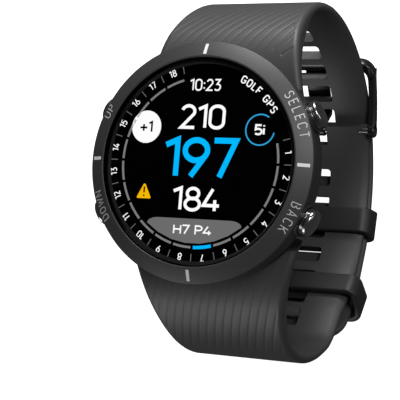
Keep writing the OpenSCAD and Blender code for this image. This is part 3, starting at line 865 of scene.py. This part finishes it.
def ribbon(line, stroke, low, high, place):
    """Closed flat strip of the given stroke width along a line, its corners mitred."""
    spots = [np.array(p) for p in line]
    closed = np.linalg.norm(spots[0] - spots[-1]) < 1e-6
    if closed:
        spots = spots[:-1]
    count = len(spots)
    points = []
    for i, spot in enumerate(spots):
        ahead = spots[(i + 1) % count] - spot if closed or i < count - 1 else spot - spots[i - 1]
        behind = spot - spots[i - 1] if closed or i > 0 else ahead
        ahead = ahead / np.linalg.norm(ahead)
        behind = behind / np.linalg.norm(behind)
        normal = np.array((-(ahead + behind)[1], (ahead + behind)[0]))
        normal = normal / np.linalg.norm(normal)
        reach = stroke / 2 / max(0.4, float(normal @ np.array((-ahead[1], ahead[0]))))
        for side, height in ((-1, low), (1, low), (1, high), (-1, high)):
            u, v = spot + side * reach * normal
            points.append(place(float(u), float(v), height))
    faces = ring_faces(count, 4, closed_rows=True) if closed else capped(count, 4)
    return points, faces


def drawn(name, lines, stroke, low, high, place, material):
    """Piece made of the ribbons of all the lines."""
    solids = [ribbon(line, stroke, low, high, place) for line in lines]
    return new_piece(name, *joined(solids), "watch_head", material)


def flat_at(x0, y0, turn=0.0):
    """Places a drawing on the screen at (x0, y0), turned clockwise by turn degrees."""
    c, s = math.cos(rad(turn)), math.sin(rad(turn))
    return lambda u, v, h: (x0 + u * c + v * s, y0 - u * s + v * c, h)


def on_cone(angle, ring):
    """Places a drawing round the bezel's cone, tops outwards, centred at a clock angle."""
    def place(u, v, h):
        r = ring + v
        t = rad(angle) + u / ring
        return (r * math.sin(t), r * math.cos(t), cone_z(r) + h)
    return place


def slab(outline, low, high, place):
    """Closed flat solid of a convex outline."""
    points = [place(u, v, h) for h in (low, high) for u, v in outline]
    return points, capped(2, len(outline))


# Heights of the screen's layers over the display, all under the lens
LAYER_FACE = (SCREEN_Z + 0.002, SCREEN_Z + 0.010)
LAYER_LOW = (SCREEN_Z + 0.012, SCREEN_Z + 0.018)
LAYER_HIGH = (SCREEN_Z + 0.020, SCREEN_Z + 0.026)


def screen_text(name, text, x0, x1, y0, y1, stroke, gap, material, layer=LAYER_LOW):
    """Text that fills the box from (x0, y0) to (x1, y1) on the screen."""
    height = y1 - y0
    bare = text_width(text, height, stroke, 0.0, 1.0)
    stretch = (x1 - x0 - stroke - gap * (len(text) - 1)) / bare
    lines = text_lines(text, height, stroke, gap, stretch)
    drawn(name, lines, stroke, *layer, flat_at((x0 + x1) / 2, (y0 + y1) / 2), material)


def screen_face(material):
    """Black face of the display and the black print round it."""
    outline = [(LENS_R * math.cos(rad(t)), LENS_R * math.sin(rad(t))) for t in range(0, 360, 3)]
    piece = new_piece("screen_face", *slab(outline, *LAYER_FACE, flat_at(0, 0)), "watch_head", material)


def hole_ring(materials):
    """Ring of hole numbers, ticks and progress arcs round the screen."""
    number_ring, arc_ring = 17.35, 15.43
    numbers, arcs = [], []
    ticks = [radial_line(75 + 15 * n, 16.6, 18.1) for n in range(19)]
    for n in range(1, 19):
        angle = 67.5 + 15 * n
        c, s = math.sin(rad(angle)), math.cos(rad(angle))
        lines = text_lines(str(n), 1.38, 0.18, 0.3, 1.0)
        place = flat_at(number_ring * c, number_ring * s, angle)
        numbers += [ribbon(line, 0.18, *LAYER_LOW, place) for line in lines]
        span = arc(0, 0, arc_ring, arc_ring, 90 - angle - 6.6, 90 - angle + 6.6)
        if n == 7:
            drawn("arc_current_hole", [span], 0.6, *LAYER_LOW, flat_at(0, 0), materials["screen_blue"])
        else:
            arcs.append(span)
    drawn("ticks", ticks, 0.16, *LAYER_LOW, flat_at(0, 0), materials["screen_tick"])
    new_piece("hole_numbers", *joined(numbers), "watch_head", materials["screen_white"])
    drawn("progress_arcs", arcs, 0.42, *LAYER_LOW, flat_at(0, 0), materials["screen_arc"])


def radial_line(angle, r0, r1):
    """Radial line at a clock angle."""
    c, s = math.sin(rad(angle)), math.cos(rad(angle))
    return [(r0 * c, r0 * s), (r1 * c, r1 * s)]


def screen_items(materials):
    """Distances, score, club, warning, time and the hole and par line."""
    white, black = materials["screen_white"], materials["screen_black"]
    screen_text("text_time", "10:23", -3.05, 3.25, 12.95, 15.15, 0.28, 0.42, white)
    screen_text("text_back_distance", "210", -4.4, 4.6, 5.95, 10.5, 0.6, 0.75, white)
    screen_text("text_distance", "197", -7.3, 7.65, -3.15, 4.5, 1.05, 1.25, materials["screen_blue"])
    screen_text("text_front_distance", "184", -4.8, 5.0, -9.0, -4.5, 0.6, 0.75, white)
    disc = [(3.0 * math.cos(rad(t)), 3.0 * math.sin(rad(t))) for t in range(0, 360, 5)]
    new_piece("score_disc", *slab(disc, *LAYER_LOW, flat_at(-11.15, 6.2)), "watch_head", white)
    screen_text("text_score", "+1", -12.6, -9.8, 5.1, 7.3, 0.36, 0.36, black, LAYER_HIGH)
    ring = arc(11.5, 6.1, 2.75, 2.75, 55, 350)
    drawn("club_ring", [ring], 0.25, *LAYER_LOW, flat_at(0, 0), materials["screen_ring"])
    screen_text("text_club", "5i", 10.4, 12.5, 5.1, 7.1, 0.36, 0.32, white)
    sign = rounded([(-1.55, -1.5, 0.2), (1.55, -1.5, 0.2), (0, 1.5, 0.25)])
    new_piece("warning_sign", *slab(sign, *LAYER_LOW, flat_at(-10.55, -5.5)), "watch_head",
              materials["screen_yellow"])
    mark = [[(0, 0.65), (0, -0.45)], [(0, -0.8), (0, -1.1)]]
    drawn("warning_mark", mark, 0.3, *LAYER_HIGH, flat_at(-10.55, -5.5), black)
    new_piece("hole_segment", *slab(segment_outline(), *LAYER_LOW, flat_at(0, 0)), "watch_head",
              materials["screen_segment"])
    screen_text("text_hole_par", "H7 P4", -4.0, 3.7, -13.2, -11.4, 0.28, 0.36, white, LAYER_HIGH)


def segment_outline():
    """Bottom segment of the screen under the distances, with round upper corners."""
    r, top, reach = 14.75, -10.3, 9.4
    edge = math.degrees(math.asin(reach / r))
    low = arc(0, 0, r, r, 270 - edge, 270 + edge)
    start = low[-1]
    right = [(start[0] - 2.2 * (1 - math.cos(t)), start[1] + (top - start[1]) * math.sin(t))
             for t in (rad(15 * k) for k in range(1, 7))]
    return low + right + [(-x, y) for x, y in right[::-1]]


def ring_lettering(materials):
    """Button names on the bezel and plain words on the screen's upper right."""
    labels = {"SELECT": (64.4, 0.78), "BACK": (116.4, 0.72), "DOWN": (245, 0.55), "UP": (295, 0.6)}
    for word, (angle, gap) in labels.items():
        lines = text_lines(word, 1.65, 0.17, gap, 1.2)
        drawn("label_" + word.lower(), lines, 0.17, -0.02, 0.012, on_cone(angle, 20.85),
              materials["label_paint"])
    ring = 16.9

    def place(u, v, h):
        t = rad(41) + u / ring
        return ((ring + v) * math.sin(t), (ring + v) * math.cos(t), h)

    drawn("text_plain_words", text_lines("GOLF GPS", 1.5, 0.24, 0.5, 1.25), 0.24, *LAYER_LOW, place,
          materials["screen_white"])


def paint_cad_nodes(materials):
    """Gives every carried-over CAD node the material of its slot in the record."""
    for part in frame["record"]["subparts"]:
        node = frame["nodes"][part["node"]]
        node.data.materials.clear()
        node.data.materials.append(materials[part["material_slot"]])


bpy.context.scene.view_settings.view_transform = "Standard"
look_from((104.72, -23.85, 229.25), (0.895, -6.841, 12.0), 4.66, 121.11)
studio()
paints = make_materials()
paint_cad_nodes(paints)
bezel(paints["bezel_coating"])
lens(paints["lens_glass"], paints["display_black"])
index_bars(paints["mark_paint"])
for button, clock_angle in BUTTON_ANGLES.items():
    button_head(button, clock_angle, paints["gunmetal"])
long_strap(paints["strap_rubber"])
short_strap(paints["strap_rubber"])
keeper("keeper_fixed_band", "keeper_fixed", "short_strap", KEEPER_FIXED, paints["keeper_rubber"])
keeper("keeper_free_band", "keeper_free", "free_keeper", KEEPER_FREE, paints["keeper_rubber"])
buckle_frame(paints["black_metal"])
tongue(paints["black_metal"])
screen_face(paints["display_black"])
hole_ring(paints)
screen_items(paints)
ring_lettering(paints)
